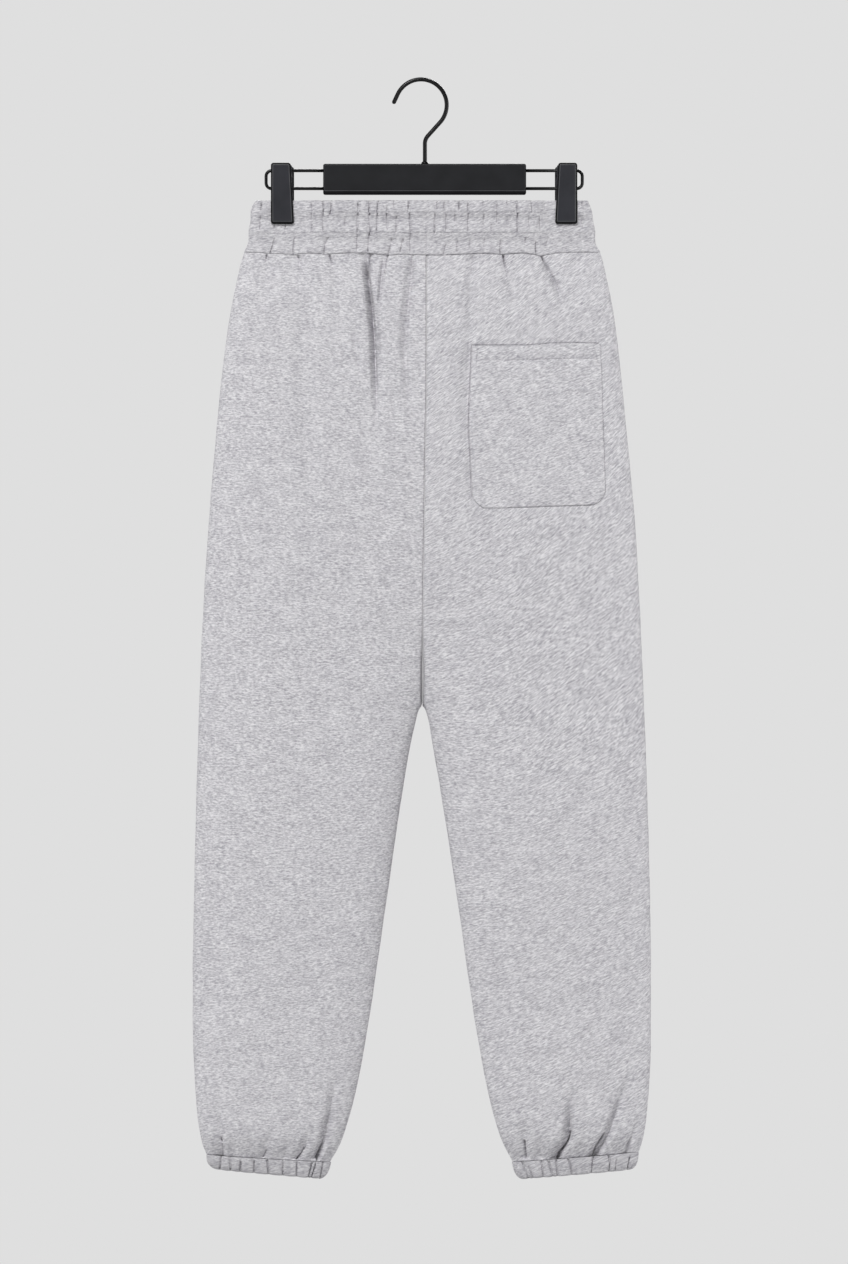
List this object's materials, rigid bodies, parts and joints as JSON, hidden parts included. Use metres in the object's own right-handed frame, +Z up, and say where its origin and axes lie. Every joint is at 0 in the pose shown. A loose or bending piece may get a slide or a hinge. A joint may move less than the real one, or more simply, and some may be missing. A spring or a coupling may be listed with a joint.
{
  "type": "jogger sweatpants on a clip hanger",
  "caption": "Jogger sweatpants with gathered elastic waistband and cuffs and one back patch pocket, hung by the waistband from a wire-hook clip hanger.",
  "frame": {"origin": "the seat under the top of the hanger's hook, where a rail carries the whole part", "axes": "+Z up, +X to the wearer's right, the back of the garment faces -Y"},
  "size_m": [0.458, 0.0621, 1.1017],
  "materials": {
    "fleece": "brushed heather fleece",
    "hanger_plastic": "satin moulded",
    "hanger_wire": "glossy black coating"
  },
  "bodies": {
    "root": {"waistband": "fleece", "back_left": "fleece", "back_right": "fleece", "front_left": "fleece", "front_right": "fleece", "cuff_left": "fleece", "cuff_right": "fleece", "pocket_back_right": "fleece", "hook": "hanger_wire", "hook_collar": "hanger_wire", "bar": "hanger_plastic", "rail_left": "hanger_wire", "rail_right": "hanger_wire", "clip_left_saddle": "hanger_plastic", "clip_left_jaw_shown": "hanger_plastic", "clip_left_jaw_behind": "hanger_plastic", "clip_right_saddle": "hanger_plastic", "clip_right_jaw_shown": "hanger_plastic", "clip_right_jaw_behind": "hanger_plastic"}
  },
  "joints": []
}
